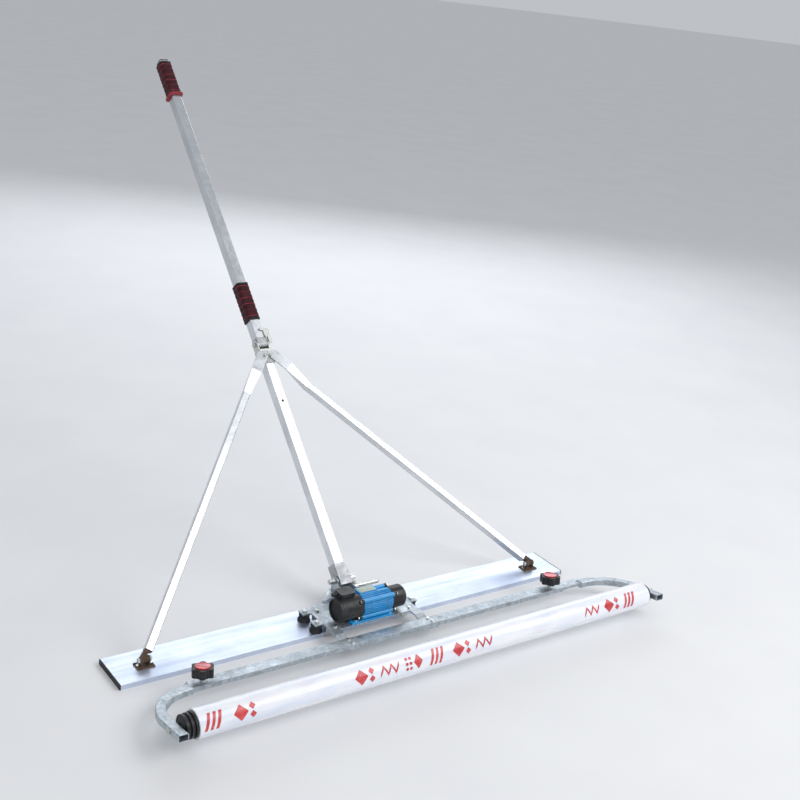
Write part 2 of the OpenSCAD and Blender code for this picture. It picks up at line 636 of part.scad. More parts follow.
module cover_left() color("black") motor_frame() difference() {
    union() {
        translate([0, 0, housing_x0 - cover_l_len]) cylinder(r = cover_r, h = cover_l_len);
        corner_ears(housing_x0 - 8, housing_x0);
        translate([0, 0, housing_x0 - cover_l_len + 7]) cylinder(r = cover_r + 0.8, h = 3);
    }
    // room for the weights
    translate([0, 0, housing_x0 - cover_l_len + 9]) cylinder(r = cover_r - cover_wall, h = cover_l_len);
    // dished end face
    translate([0, 0, housing_x0 - cover_l_len - 1]) cylinder(r = cover_r - 4.5, h = 5);
    for (a = [45 : 90 : 315]) rotate(a) translate([corner_bolt_r, 0, housing_x0 - 12.5]) {
        cylinder(r = 2.5, h = 15);
        cylinder(r = 4.8, h = 4.5);
    }
}

module cover_right() color("black") motor_frame() difference() {
    union() {
        translate([0, 0, housing_x1]) cylinder(r = cap_r, h = cover_r_len - 6);
        translate([0, 0, housing_x1 + cover_r_len - 6]) cylinder(r1 = cap_r, r2 = cap_r - 5, h = 6, $fn = 48);
        corner_ears(housing_x1, housing_x1 + 8);
    }
    translate([0, 0, housing_x1 - 1]) cylinder(r = cap_r - cover_wall, h = cover_r_len - 6);
    for (a = [45 : 90 : 315]) rotate(a) translate([corner_bolt_r, 0, housing_x1 - 2]) cylinder(r = 2.5, h = 12);
}

module cover_bolts() color("silver") motor_frame() for (a = [45 : 90 : 315]) rotate(a)
    translate([corner_bolt_r, 0, 0]) {
        translate([0, 0, housing_x0 - 8]) rotate([180, 0, 0]) cylinder(r = 4.4, h = 3.6, $fn = 6);
        translate([0, 0, housing_x0 - 8 - eps]) cylinder(r = 2, h = 28);
        translate([0, 0, housing_x1 + 8]) cylinder(r = 4.4, h = 3.6, $fn = 6);
        translate([0, 0, housing_x1 - 20]) cylinder(r = 2, h = 28 + eps);
    }

module motor_foot_bolts() color("silver") for (x = [-64, 52]) for (y = [-24, 24])
    translate([x, motor_y + y, plate_top + 6]) bolt_down(3.3, 12);

// black box on the left cover where the lead comes in
box_x = [-107, -58];
box_y = [motor_y - 4, motor_y + 34];
box_z = [shaft_z + 22, shaft_z + 46];
gland_y = motor_y + 19;
gland_z = box_z[1] - 8;
module junction_box() color("black") difference() {
    union() {
        block([box_x[0] + 8, box_x[1] - 8], box_y, box_z);
        block(box_x, [box_y[0] + 8, box_y[1] - 8], box_z);
        for (x = [box_x[0] + 8, box_x[1] - 8]) for (y = [box_y[0] + 8, box_y[1] - 8])
            translate([x, y, box_z[0]]) cylinder(r = 8, h = box_z[1] - box_z[0]);
    }
    motor_frame() translate([0, 0, -130]) cylinder(r = cover_r, h = 100);
    translate([box_x[0] - 1, gland_y, gland_z]) rod(5, 0, 20);
}
gland_r = 3.2;
module cable_gland() color("black") translate([box_x[0], gland_y, gland_z]) difference() {
    union() {
        rod(5, -2, 12);
        hex(7.5, -7, 0);
        rod(5.5, -14, -6);
    }
    rod(gland_r, -15, 8);
}
module name_plate() color("darkseagreen") block([housing_x0 + 9, housing_x0 + 61],
    [motor_y + 4, motor_y + 28], [shaft_z + 34, shaft_z + 35]);

blade();
blade_cap_left();
blade_cap_right();
foot_brackets();
foot_pins();
foot_screws();
strut_left();
strut_right();
strut_knuckles();
hub_collar();
hub_bolts();
lower_pole();
pole_socket();
socket_bolt();
tilt_crank();
base_plate();
rail_left();
rail_right();
rubber_dampers();
damper_bolts();
damper_brackets();
cross_bar();
bar_bolts();
arm_left();
arm_right();
knob_nuts();
knob_left();
knob_right();
knob_cap_left();
knob_cap_right();
knob_screw_left();
knob_screw_right();
plug_left();
plug_right();
plug_pin_left();
plug_pin_right();
roll_core();
film_roll();
fold_bracket();
fold_knuckle();
fold_bolt();
fold_lever();
upper_pole();
grip_lower();
grip_upper();
pole_end_cap();
motor_housing();
end_shields();
cover_left();
cover_right();
cover_bolts();
motor_foot_bolts();
motor_shaft();
rotor_core();
stator();
bearings();
eccentric_weights();
junction_box();
cable_gland();
name_plate();
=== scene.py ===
import math

import bpy
from mathutils import Matrix, Vector


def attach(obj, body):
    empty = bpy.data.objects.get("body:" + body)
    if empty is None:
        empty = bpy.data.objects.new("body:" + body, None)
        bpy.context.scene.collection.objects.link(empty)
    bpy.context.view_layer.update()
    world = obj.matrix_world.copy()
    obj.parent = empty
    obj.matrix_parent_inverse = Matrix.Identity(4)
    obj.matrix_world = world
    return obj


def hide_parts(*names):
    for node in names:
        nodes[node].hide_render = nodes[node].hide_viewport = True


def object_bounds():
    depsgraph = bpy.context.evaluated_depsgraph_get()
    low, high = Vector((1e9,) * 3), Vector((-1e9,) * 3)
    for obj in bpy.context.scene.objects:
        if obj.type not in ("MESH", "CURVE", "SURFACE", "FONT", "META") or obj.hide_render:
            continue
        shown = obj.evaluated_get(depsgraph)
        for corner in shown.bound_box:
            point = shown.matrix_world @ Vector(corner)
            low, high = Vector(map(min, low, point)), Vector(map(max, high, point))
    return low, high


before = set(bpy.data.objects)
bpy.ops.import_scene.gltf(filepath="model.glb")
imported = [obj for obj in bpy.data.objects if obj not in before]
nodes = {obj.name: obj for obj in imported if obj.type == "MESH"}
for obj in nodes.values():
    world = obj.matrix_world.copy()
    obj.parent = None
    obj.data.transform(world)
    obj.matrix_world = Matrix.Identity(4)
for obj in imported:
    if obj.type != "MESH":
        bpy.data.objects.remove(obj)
cad_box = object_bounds()

# ---- camera ----
CAM_PLACE = Vector((-1.8810, -2.2938, 1.7664))
CAM_YAW, CAM_PITCH, CAM_ROLL = (math.radians(a) for a in (35.10, 21.07, -6.556))
FOCAL_PX, FRAME_PX, SENSOR_MM = 1201.9, 800.0, 36.0
CAM_SHIFT_X = 0.125
CAM_CLIP = (0.05, 50)


def camera():
    reach = math.cos(CAM_PITCH)
    forward = Vector((math.sin(CAM_YAW) * reach, math.cos(CAM_YAW) * reach, -math.sin(CAM_PITCH)))
    level = Vector((math.cos(CAM_YAW), -math.sin(CAM_YAW), 0))
    down = forward.cross(level)
    right = level * math.cos(CAM_ROLL) + down * math.sin(CAM_ROLL)
    down = down * math.cos(CAM_ROLL) - level * math.sin(CAM_ROLL)
    cam = bpy.data.cameras.new("camera")
    obj = bpy.data.objects.new("camera", cam)
    bpy.context.scene.collection.objects.link(obj)
    turn = Matrix((right, -down, -forward)).transposed().to_4x4()
    obj.matrix_world = Matrix.Translation(CAM_PLACE) @ turn
    cam.sensor_width = SENSOR_MM
    cam.lens = FOCAL_PX / FRAME_PX * SENSOR_MM
    cam.shift_x = CAM_SHIFT_X
    cam.clip_start, cam.clip_end = CAM_CLIP
    bpy.context.scene.camera = obj


camera()

# ---- frames and main sizes of the screed, in metres ----
MM = 0.001
POLE = Matrix.Translation((0, 0.075, 0.073)) @ Matrix.Rotation(math.radians(43.5 - 90), 4, "X")
BAR = Matrix.Translation((0.006, -0.168, 0.040)) @ Matrix.Rotation(math.radians(-10), 4, "X")
ROLL_Y, ROLL_Z, ROLL_R = -0.330029, 0.065524, 0.036
ROLL_X0, ROLL_X1 = -0.694, 0.800


# ---- materials ----
EDGE_REACH = 0.0016


class Mat:
    """A node material built up step by step round one Principled shader."""

    def __init__(self, name, rough=0.5, metal=0.0, **sockets):
        self.mat = bpy.data.materials.new(name)
        self.mat.use_nodes = True
        self.nt = self.mat.node_tree
        self.bsdf = self.nt.nodes["Principled BSDF"]
        self.bsdf.inputs["Metallic"].default_value = metal
        self.bsdf.inputs["Roughness"].default_value = rough
        for key, value in sockets.items():
            self.bsdf.inputs[key.replace("_", " ")].default_value = value
        self.place = self.node("ShaderNodeTexCoord").outputs["Object"]
        self.color = None
        self.height = []

    def node(self, kind, **props):
        n = self.nt.nodes.new(kind)
        for key, value in props.items():
            setattr(n, key, value)
        return n

    def link(self, a, b):
        self.nt.links.new(a, b)

    def mapped(self, scale=(1, 1, 1), turn=(0, 0, 0)):
        n = self.node("ShaderNodeMapping")
        n.inputs["Scale"].default_value = scale
        n.inputs["Rotation"].default_value = turn
        self.link(self.place, n.inputs["Vector"])
        return n.outputs["Vector"]

    def noise(self, scale, detail=4.0, stretch=(1, 1, 1), turn=(0, 0, 0), rough=0.55):
        n = self.node("ShaderNodeTexNoise")
        n.inputs["Scale"].default_value = scale
        n.inputs["Detail"].default_value = detail
        n.inputs["Roughness"].default_value = rough
        self.link(self.mapped(stretch, turn), n.inputs["Vector"])
        return n.outputs["Fac"]

    def cells(self, scale):
        n = self.node("ShaderNodeTexVoronoi")
        n.inputs["Scale"].default_value = scale
        self.link(self.mapped(), n.inputs["Vector"])
        gray = self.node("ShaderNodeRGBToBW")
        self.link(n.outputs["Color"], gray.inputs["Color"])
        return gray.outputs["Val"]

    def bands(self, scale, direction, distortion):
        n = self.node("ShaderNodeTexWave", bands_direction=direction)
        n.inputs["Scale"].default_value = scale
        n.inputs["Distortion"].default_value = distortion
        self.link(self.mapped(), n.inputs["Vector"])
        return n.outputs["Fac"]

    def ramp(self, value, lo, hi, a=(0, 0, 0), b=(1, 1, 1)):
        n = self.node("ShaderNodeValToRGB")
        n.color_ramp.elements[0].position, n.color_ramp.elements[1].position = lo, hi
        n.color_ramp.elements[0].color = (*a, 1)
        n.color_ramp.elements[1].color = (*b, 1)
        self.link(value, n.inputs["Fac"])
        return n.outputs["Color"]

    def base(self, value, a, b, lo=0.3, hi=0.7):
        self.color = self.ramp(value, lo, hi, a, b)
        return self

    def over(self, mask, color, amount=1.0, lo=0.5, hi=0.7):
        """Lays one more colour over the base where the mask is high."""
        n = self.node("ShaderNodeMix", data_type="RGBA")
        self.link(self.ramp(mask, lo, hi, (0, 0, 0), (amount, amount, amount)), n.inputs["Factor"])
        self.link(self.color, n.inputs["A"])
        n.inputs["B"].default_value = (*color, 1)
        self.color = n.outputs["Result"]
        return self

    def edges(self):
        """High on edges and corners, from how far a rounded normal leaves the true one."""
        bevel = self.node("ShaderNodeBevel", samples=4)
        bevel.inputs["Radius"].default_value = EDGE_REACH
        flat = self.node("ShaderNodeNewGeometry")
        dot = self.node("ShaderNodeVectorMath", operation="DOT_PRODUCT")
        self.link(bevel.outputs["Normal"], dot.inputs[0])
        self.link(flat.outputs["Normal"], dot.inputs[1])
        n = self.node("ShaderNodeMapRange")
        n.inputs["From Min"].default_value, n.inputs["From Max"].default_value = 1.0, 0.75
        self.link(dot.outputs["Value"], n.inputs["Value"])
        patchy = self.node("ShaderNodeMath", operation="MULTIPLY")
        self.link(n.outputs["Result"], patchy.inputs[0])
        self.link(self.ramp(self.noise(45, 3), 0.35, 0.6), patchy.inputs[1])
        return patchy.outputs["Value"]

    def rough(self, value, lo, hi):
        n = self.node("ShaderNodeMapRange")
        n.inputs["From Min"].default_value, n.inputs["From Max"].default_value = 0.3, 0.7
        n.inputs["To Min"].default_value, n.inputs["To Max"].default_value = lo, hi
        self.link(value, n.inputs["Value"])
        self.link(n.outputs["Result"], self.bsdf.inputs["Roughness"])
        return self

    def bump(self, value, strength, depth=0.0004):
        self.height.append((value, strength, depth))
        return self

    def done(self, bevel=0.0006):
        soft = self.node("ShaderNodeBevel", samples=4)
        soft.inputs["Radius"].default_value = bevel
        normal = soft.outputs["Normal"]
        for value, strength, depth in self.height:
            n = self.node("ShaderNodeBump")
            n.inputs["Strength"].default_value = strength
            n.inputs["Distance"].default_value = depth
            self.link(value, n.inputs["Height"])
            self.link(normal, n.inputs["Normal"])
            normal = n.outputs["Normal"]
        self.link(normal, self.bsdf.inputs["Normal"])
        self.link(self.color, self.bsdf.inputs["Base Color"])
        return self.mat


def metal(name, dark, light, rough, grain, turn=(0, 0, 0), dirt=(0.09, 0.085, 0.08), dirt_amount=0.35):
    m = Mat(name, metal=1.0)
    broad = m.noise(9, 5)
    streak = m.noise(60, 4, grain, turn)
    m.base(broad, dark, light)
    m.over(m.noise(24, 6, rough=0.7), dirt, dirt_amount, 0.56, 0.75)
    m.over(m.edges(), tuple(min(1, c * 1.25 + 0.05) for c in light), 0.7, 0.2, 0.8)
    m.rough(streak, *rough)
    m.bump(streak, 0.25, 0.0002)
    m.bump(m.noise(350, 3), 0.12, 0.0002)
    return m.done()


def galvanised():
    m = Mat("galvanised_steel", metal=0.85)
    m.base(m.cells(110), (0.40, 0.45, 0.48), (0.58, 0.63, 0.67), 0.15, 0.85)
    m.over(m.noise(14, 6, rough=0.7), (0.24, 0.26, 0.27), 0.5, 0.52, 0.72)
    m.over(m.noise(38, 6, rough=0.75), (0.62, 0.63, 0.60), 0.4, 0.58, 0.7)
    m.over(m.edges(), (0.66, 0.70, 0.72), 0.6, 0.2, 0.8)
    m.rough(m.noise(30, 5), 0.32, 0.62)
    m.bump(m.noise(160, 5), 0.3, 0.0004)
    return m.done()


def brown_steel():
    m = Mat("brown_steel", metal=0.45)
    m.base(m.noise(55, 6, rough=0.7), (0.045, 0.03, 0.022), (0.19, 0.12, 0.075))
    m.over(m.noise(23, 5), (0.30, 0.135, 0.05), 0.55, 0.55, 0.7)
    m.over(m.edges(), (0.38, 0.32, 0.27), 0.55, 0.25, 0.8)
    m.rough(m.noise(40, 4), 0.5, 0.85)
    m.bump(m.noise(240, 6, rough=0.7), 0.5, 0.0005)
    return m.done()


def cast():
    m = Mat("cast_aluminium", metal=0.9)
    m.base(m.noise(40, 5), (0.34, 0.35, 0.36), (0.56, 0.57, 0.58))
    m.over(m.noise(120, 4), (0.2, 0.2, 0.2), 0.4, 0.6, 0.72)
    m.over(m.edges(), (0.75, 0.76, 0.77), 0.7, 0.2, 0.8)
    m.rough(m.noise(60, 4), 0.42, 0.62)
    m.bump(m.noise(420, 4), 0.5, 0.0004)
    return m.done()


def black(name, rough, grain, dust=0.3):
    m = Mat(name, Specular_IOR_Level=0.45)
    m.base(m.noise(26, 5), (0.006, 0.006, 0.007), (0.022, 0.022, 0.024))
    m.over(m.noise(17, 6, rough=0.72), (0.17, 0.165, 0.155), dust, 0.52, 0.78)
    m.over(m.edges(), (0.12, 0.12, 0.125), 0.5, 0.2, 0.8)
    m.rough(m.noise(35, 4), *rough)
    m.bump(m.noise(grain, 3), 0.25, 0.0003)
    return m.done(0.0008)


def blue_paint():
    m = Mat("blue_paint", Coat_Weight=0.6, Coat_Roughness=0.18)
    m.base(m.noise(20, 4), (0.004, 0.26, 0.60), (0.012, 0.38, 0.80))
    m.over(m.noise(32, 6, rough=0.75), (0.20, 0.27, 0.33), 0.45, 0.6, 0.72)
    m.over(m.edges(), (0.50, 0.62, 0.70), 0.55, 0.45, 0.9)
    m.rough(m.noise(30, 4), 0.25, 0.48)
    m.bump(m.noise(190, 4), 0.35, 0.0004)
    return m.done(0.0009)


def red_plastic():
    m = Mat("red_plastic", Coat_Weight=0.8, Coat_Roughness=0.08)
    m.base(m.noise(60, 3), (0.55, 0.006, 0.014), (0.74, 0.016, 0.026))
    m.over(m.noise(30, 6, rough=0.7), (0.62, 0.22, 0.22), 0.2, 0.62, 0.75)
    m.rough(m.noise(50, 3), 0.2, 0.34)
    m.bump(m.noise(260, 3), 0.12, 0.0002)
    return m.done(0.0009)


def white_film():
    m = Mat("white_film", Coat_Weight=0.5, Coat_Roughness=0.14)
    wound = m.noise(7, 5, (1, 6, 6))
    m.base(wound, (0.76, 0.82, 0.95), (0.94, 0.95, 0.98), 0.25, 0.6)
    m.over(m.noise(5, 4, (1.4, 5, 5)), (0.90, 0.78, 0.84), 0.4, 0.52, 0.7)
    m.over(m.noise(90, 4, (0.05, 1, 1)), (0.66, 0.72, 0.82), 0.25, 0.55, 0.7)
    m.rough(wound, 0.2, 0.36)
    m.bump(m.noise(34, 4, (0.15, 1, 1)), 0.3, 0.0006)
    m.bump(m.noise(11, 3, (2.2, 1, 1)), 0.35, 0.0012)
    return m.done(0.0008)


def film_print():
    m = Mat("film_print", Coat_Weight=0.5, Coat_Roughness=0.14)
    m.base(m.noise(30, 5), (0.52, 0.02, 0.03), (0.74, 0.07, 0.07))
    m.over(m.noise(140, 5), (0.86, 0.5, 0.5), 0.4, 0.58, 0.7)
    m.rough(m.noise(30, 3), 0.25, 0.4)
    m.bump(m.noise(34, 4, (0.15, 1, 1)), 0.3, 0.0006)
    return m.done(0.0003)


def foam(name, a, b):
    m = Mat(name, Sheen_Weight=0.08, Sheen_Roughness=0.5, Specular_IOR_Level=0.25)
    m.base(m.noise(70, 5, rough=0.7), a, b)
    m.over(m.noise(28, 5), tuple(c * 1.5 + 0.01 for c in b), 0.35, 0.55, 0.75)
    m.rough(m.noise(80, 4), 0.62, 0.85)
    m.bump(m.noise(260, 5), 0.5, 0.0006)
    return m.done(0.0012)


def card():
    m = Mat("card")
    m.base(m.noise(60, 5, (0.3, 1, 1)), (0.27, 0.18, 0.11), (0.47, 0.34, 0.22))
    m.over(m.bands(160, "Y", 3), (0.2, 0.13, 0.08), 0.5, 0.4, 0.8)
    m.rough(m.noise(50, 3), 0.7, 0.9)
    m.bump(m.noise(300, 4), 0.4, 0.0004)
    return m.done()


def plate_grey():
    m = Mat("plate_grey", metal=0.5)
    m.base(m.noise(30, 5), (0.30, 0.35, 0.30), (0.46, 0.52, 0.46))
    m.over(m.noise(110, 5, rough=0.7), (0.2, 0.2, 0.17), 0.5, 0.58, 0.72)
    m.over(m.edges(), (0.7, 0.72, 0.7), 0.6, 0.3, 0.8)
    m.rough(m.noise(40, 4), 0.35, 0.55)
    m.bump(m.noise(280, 3), 0.2, 0.0002)
    return m.done()


ALONG_X = (0.04, 1, 1)
ALONG_Z = (1, 1, 0.04)
POLE_TURN = (math.radians(46.5), 0, 0)
FINISH = {
    # blade: the blue tint of both base colours and of the darker patches is a painted sky reflection; the grey under
    # it and the mottling are the metal's own
    "blade_aluminium": metal("blade_aluminium", (0.60, 0.66, 0.80), (0.74, 0.80, 0.92), (0.34, 0.50), ALONG_X,
                             dirt=(0.42, 0.45, 0.52), dirt_amount=0.3),
    "tube_aluminium": metal("tube_aluminium", (0.62, 0.64, 0.67), (0.78, 0.80, 0.83), (0.20, 0.36), ALONG_Z,
                            POLE_TURN, dirt=(0.45, 0.46, 0.47), dirt_amount=0.22),
    "strut_aluminium": metal("strut_aluminium", (0.60, 0.62, 0.65), (0.76, 0.78, 0.80), (0.20, 0.38), (0.4, 1, 1),
                             dirt=(0.42, 0.42, 0.42), dirt_amount=0.25),
    "zinc_steel": metal("zinc_steel", (0.52, 0.53, 0.50), (0.78, 0.79, 0.76), (0.2, 0.42), (1, 1, 1),
                        dirt=(0.25, 0.22, 0.18), dirt_amount=0.4),
    "core_steel": metal("core_steel", (0.14, 0.13, 0.13), (0.28, 0.27, 0.26), (0.4, 0.6), ALONG_X),
    "galvanised_steel": galvanised(),
    "brown_steel": brown_steel(),
    "cast_aluminium": cast(),
    "black_plastic": black("black_plastic", (0.3, 0.52), 500),
    "rubber": black("rubber", (0.6, 0.85), 300, 0.45),
    "cap_black": black("cap_black", (0.5, 0.75), 400, 0.6),
    "blue_paint": blue_paint(),
    "red_plastic": red_plastic(),
    "white_film": white_film(),
    "film_print": film_print(),
    "foam": foam("foam", (0.018, 0.002, 0.004), (0.07, 0.006, 0.012)),
    "foam_ring": foam("foam_ring", (0.20, 0.018, 0.03), (0.36, 0.05, 0.065)),
    "foam_black": foam("foam_black", (0.006, 0.006, 0.007), (0.03, 0.028, 0.03)),
    "card": card(),
    "plate_grey": plate_grey(),
}
NODE_FINISH = {
    "blade_aluminium": ["blade"],
    "cap_black": ["blade_cap_left", "blade_cap_right"],
    "tube_aluminium": ["lower_pole", "upper_pole"],
    "strut_aluminium": ["strut_left", "strut_right"],
    "cast_aluminium": ["pole_socket", "hub_collar", "fold_knuckle", "end_shields"],
    "zinc_steel": ["foot_pins", "foot_screws", "hub_bolts", "socket_bolt", "tilt_crank", "damper_bolts",
                   "damper_brackets", "bar_bolts", "knob_nuts", "knob_screw_left", "knob_screw_right", "plug_pin_left",
                   "plug_pin_right", "fold_bracket", "fold_bolt", "fold_lever", "cover_bolts", "motor_foot_bolts",
                   "motor_shaft", "bearings"],
    "galvanised_steel": ["base_plate", "rail_left", "rail_right", "cross_bar", "arm_left", "arm_right"],
    "brown_steel": ["foot_brackets", "strut_knuckles"],
    "core_steel": ["rotor_core", "stator", "eccentric_weights"],
    "rubber": ["rubber_dampers"],
    "black_plastic": ["knob_left", "knob_right", "plug_left", "plug_right", "pole_end_cap", "cover_left",
                      "cover_right", "junction_box", "cable_gland"],
    "red_plastic": ["knob_cap_left", "knob_cap_right"],
    "blue_paint": ["motor_housing"],
    "plate_grey": ["name_plate"],
    "card": ["roll_core"],
    "white_film": ["film_roll"],
    "foam": ["grip_lower", "grip_upper"],
}
for finish, names in NODE_FINISH.items():
    for name in names:
        nodes[name].data.materials.clear()
        nodes[name].data.materials.append(FINISH[finish])


# ---- mesh helpers ----
def piece(name, verts, faces, finish, body, stands_for=(), place=None):
    """One visible piece, riding on a body of the screed."""
    mesh = bpy.data.meshes.new(name)
    mesh.from_pydata([place @ Vector(v) if place else Vector(v) for v in verts], [], faces)
    mesh.update()
    mesh.materials.append(FINISH[finish])
    mesh.shade_smooth()
    obj = bpy.data.objects.new(name, mesh)
    bpy.context.scene.collection.objects.link(obj)
    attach(obj, body)
    if stands_for:
        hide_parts(*stands_for)


def circle(count):
    """The angles of evenly spaced points round a circle."""
    return [2 * math.pi * k / count for k in range(count)]


def join_rings(rings, loop=False):
    """Skins equally long point rings into one closed mesh: a loop, or a bar with flat ends."""
    n = len(rings[0])
    verts = [p for ring in rings for p in ring]
    faces = []
    for i in range(len(rings) if loop else len(rings) - 1):
        j = (i + 1) % len(rings)
        for k in range(n):
            m = (k + 1) % n
            faces.append((i * n + k, i * n + m, j * n + m, j * n + k))
    if not loop:
        faces.append(tuple(reversed(range(n))))
        faces.append(tuple((len(rings) - 1) * n + k for k in range(n)))
    return verts, faces


def rounded_square(half, corner, steps=7):
    """The outline of a square with round corners, from its half-width and corner radius."""
    points = []
    for quarter, (cx, cy) in enumerate(((1, 1), (-1, 1), (-1, -1), (1, -1))):
        for s in range(steps):
            a = math.radians(90 * quarter + 90 * s / (steps - 1))
            points.append(((half - corner) * cx + corner * math.cos(a),
                           (half - corner) * cy + corner * math.sin(a)))
    return points


def square_ring(z, half, corner):
    """A rounded square at height z; millimetres in, metres out."""
    return [(x * MM, y * MM, z * MM) for x, y in rounded_square(half, corner)]


# ---- film roll: wound layers with slightly uneven ends ----
FILM_BORE = 0.0292
FILM_LAYERS = 10
FILM_RIM = 0.0008        # from the outermost layer of an end face to the film's radius
FILM_LIP = 0.0003
FILM_INSET = 0.0012
FILM_SIDES, FILM_RINGS = 96, 150


def film_ring(x, r, wobble=0.0):
    row = []
    for a in circle(FILM_SIDES):
        rr = r + wobble * math.sin(3 * a + x * 21)
        row.append((x, ROLL_Y + rr * math.cos(a), ROLL_Z + rr * math.sin(a)))
    return row


def film_end(x, inward, layers):
    """An end face, in which every other layer stands back."""
    rings = []
    for i, layer in enumerate(layers):
        r = FILM_BORE + (ROLL_R - FILM_RIM - FILM_BORE) * layer / (FILM_LAYERS - 1)
        rings.append(film_ring(x + inward * 0.0004 + inward * 0.0007 * (i % 2), r))
    return rings


def film_side():
    """The outside of the roll, where the film lies a little unevenly."""
    rings = []
    length = ROLL_X1 - ROLL_X0 - 2 * FILM_INSET
    for i in range(FILM_RINGS + 1):
        x = ROLL_X0 + FILM_INSET + length * i / FILM_RINGS
        r = ROLL_R - 0.00022 + 0.00016 * math.sin(i * 0.83) + 0.0001 * math.sin(i * 2.3 + 1)
        rings.append(film_ring(x, r, 0.00010))
    return rings


def film_roll():
    layers = range(FILM_LAYERS)
    rings = film_end(ROLL_X0, 1, layers)
    rings.append(film_ring(ROLL_X0 + FILM_LIP, ROLL_R - FILM_LIP))
    rings += film_side()
    rings.append(film_ring(ROLL_X1 - FILM_LIP, ROLL_R - FILM_LIP))
    rings += film_end(ROLL_X1, -1, reversed(layers))
    verts, faces = join_rings(rings, loop=True)
    piece("film_wound", verts, [tuple(reversed(f)) for f in faces], "white_film", "roll",
          stands_for=("film_roll",))


# ---- print on the film, in millimetres along the roll and round it ----
PATCH_CELLS = 10
DOT_STEPS, DOT_RINGS = 20, 4
DOT_HOLE, DOT_R = 0.4, 4.2


def grid_faces(rows, columns):
    row = columns + 1
    corners = [i * row + j for i in range(rows) for j in range(columns)]
    return [(k, k + row, k + row + 1, k + 1) for k in corners]


def patch(a, b, c, d):
    """A four-cornered patch, divided so that it bends on to the film."""
    verts = []
    for i in range(PATCH_CELLS + 1):
        for j in range(PATCH_CELLS + 1):
            s, t = i / PATCH_CELLS, j / PATCH_CELLS
            verts.append(tuple((1 - s) * ((1 - t) * a[n] + t * d[n]) + s * ((1 - t) * b[n] + t * c[n])
                               for n in (0, 1)))
    return verts, grid_faces(PATCH_CELLS, PATCH_CELLS)


def dot(cx, cy):
    verts = []
    for i in range(DOT_STEPS + 1):
        a = math.radians(360 * i / DOT_STEPS)
        for j in range(DOT_RINGS + 1):
            r = DOT_HOLE + (DOT_R - DOT_HOLE) * j / DOT_RINGS
            verts.append((cx + r * math.cos(a), cy + r * math.sin(a)))
    return verts, grid_faces(DOT_STEPS, DOT_RINGS)


def diamond(x, y, r, narrow=1.0):
    return patch((x, y - r), (x + r * narrow, y), (x, y + r), (x - r * narrow, y))


def stripe(x, width=8, half=21, lean=14):
    return patch((x, -half), (x + width, -half), (x + width + lean, half), (x + lean, half))


def diamonds(x):
    return [diamond(x + 20, 0, 20), diamond(x + 52, 10, 9), diamond(x + 52, -10, 9)]


def zigzag(x, teeth=5, step=12, half=15, stroke=9):
    corners = [(x + i * step, half - stroke if i % 2 else -half) for i in range(teeth + 1)]
    return [patch(a, b, (b[0], b[1] + stroke), (a[0], a[1] + stroke)) for a, b in zip(corners, corners[1:])]


def stripes(x):
    return [stripe(x + i * 15) for i in range(3)]


def dots(x):
    rows = [dot(x + 6 + i * 12, y) for i in range(2) for y in (-13, 0, 13)]
    return rows + [diamond(x + 42, 0, 20, 0.7)]


PRINT_GROUPS = (
    (-684, (stripes, diamonds)),
    (-262, (diamonds, zigzag, dots, stripes, diamonds, zigzag)),
    (532, (zigzag, diamonds, stripes)),
)
PRINT_PITCH = 78
PRINT_FACING = math.radians(148)
PRINT_LIFT = 0.00022


def motif():
    """Wraps three groups of figures on to the film: a plain repeat pattern that spells nothing."""
    shapes = []
    for start, kinds in PRINT_GROUPS:
        for i, kind in enumerate(kinds):
            shapes += kind(start + i * PRINT_PITCH)
    verts, faces = [], []
    r = ROLL_R + PRINT_LIFT
    for flat_verts, flat_faces in shapes:
        first = len(verts)
        for u, v in flat_verts:
            a = PRINT_FACING - v * MM / ROLL_R
            verts.append((u * MM, ROLL_Y + r * math.cos(a), ROLL_Z + r * math.sin(a)))
        faces += [tuple(first + k for k in f) for f in flat_faces]
    piece("film_motif", verts, faces, "film_print", "roll")


# ---- ribbed foam grips, in millimetres along the pole ----
GRIP_LOWER, GRIP_UPPER, GRIP_LENGTH = 837, 1678, 128
GRIP_HOLE = 16.1
GRIP_STEPS, GRIP_WAVES = 64, 8
GRIP_RIBS = 6
RIB_MARGIN = 12
END_BAND = 7


def handle_piece(name, rings, finish, stands_for=()):
    verts, faces = join_rings(rings, loop=True)
    piece(name, verts, faces, finish, "handle_high", stands_for=stands_for, place=POLE)


def grip_sleeve(name, start, node, flange):
    """The foam itself; next to a flange its end is a little wider."""
    end = start + GRIP_LENGTH
    rings = [square_ring(start, GRIP_HOLE, 2.0)]
    if flange:
        rings.append(square_ring(start, 19, 8))
    rings += [square_ring(start, 18.6, 8), square_ring(start + 0.6, 20.2, 8.6)]
    for i in range(GRIP_STEPS + 1):
        t = i / GRIP_STEPS
        z = start + 1.5 + (GRIP_LENGTH - 3) * t
        rings.append(square_ring(z, 20.55 + 0.35 * math.cos(t * 2 * math.pi * GRIP_WAVES), 9))
    rings += [square_ring(end - 0.6, 20.2, 8.6), square_ring(end, 18.6, 8), square_ring(end, GRIP_HOLE, 2.0)]
    handle_piece(name, rings, "foam", (node,))


def grip(name, start, node, flange=False):
    grip_sleeve(name, start, node, flange)
    for k in range(GRIP_RIBS):
        z = start + RIB_MARGIN + (GRIP_LENGTH - 2 * RIB_MARGIN) * k / (GRIP_RIBS - 1)
        rib = [square_ring(z + 1.1 * math.sin(a), 20.45 + 0.5 * math.cos(a), 9) for a in circle(8)]
        handle_piece(f"{name}_ring_{k}", rib, "foam_ring")
    for k, z in enumerate((start + 0.3, start + GRIP_LENGTH - END_BAND - 0.3)):
        outside = ((0, 20.2), (0.4, 20.9), (END_BAND - 0.4, 20.95), (END_BAND, 20.2))
        band = [square_ring(z + rise, half, 9) for rise, half in outside]
        band += [square_ring(z + rise, 19.2, 8) for rise in (END_BAND, 0)]
        handle_piece(f"{name}_end_{k}", band, "foam_black")


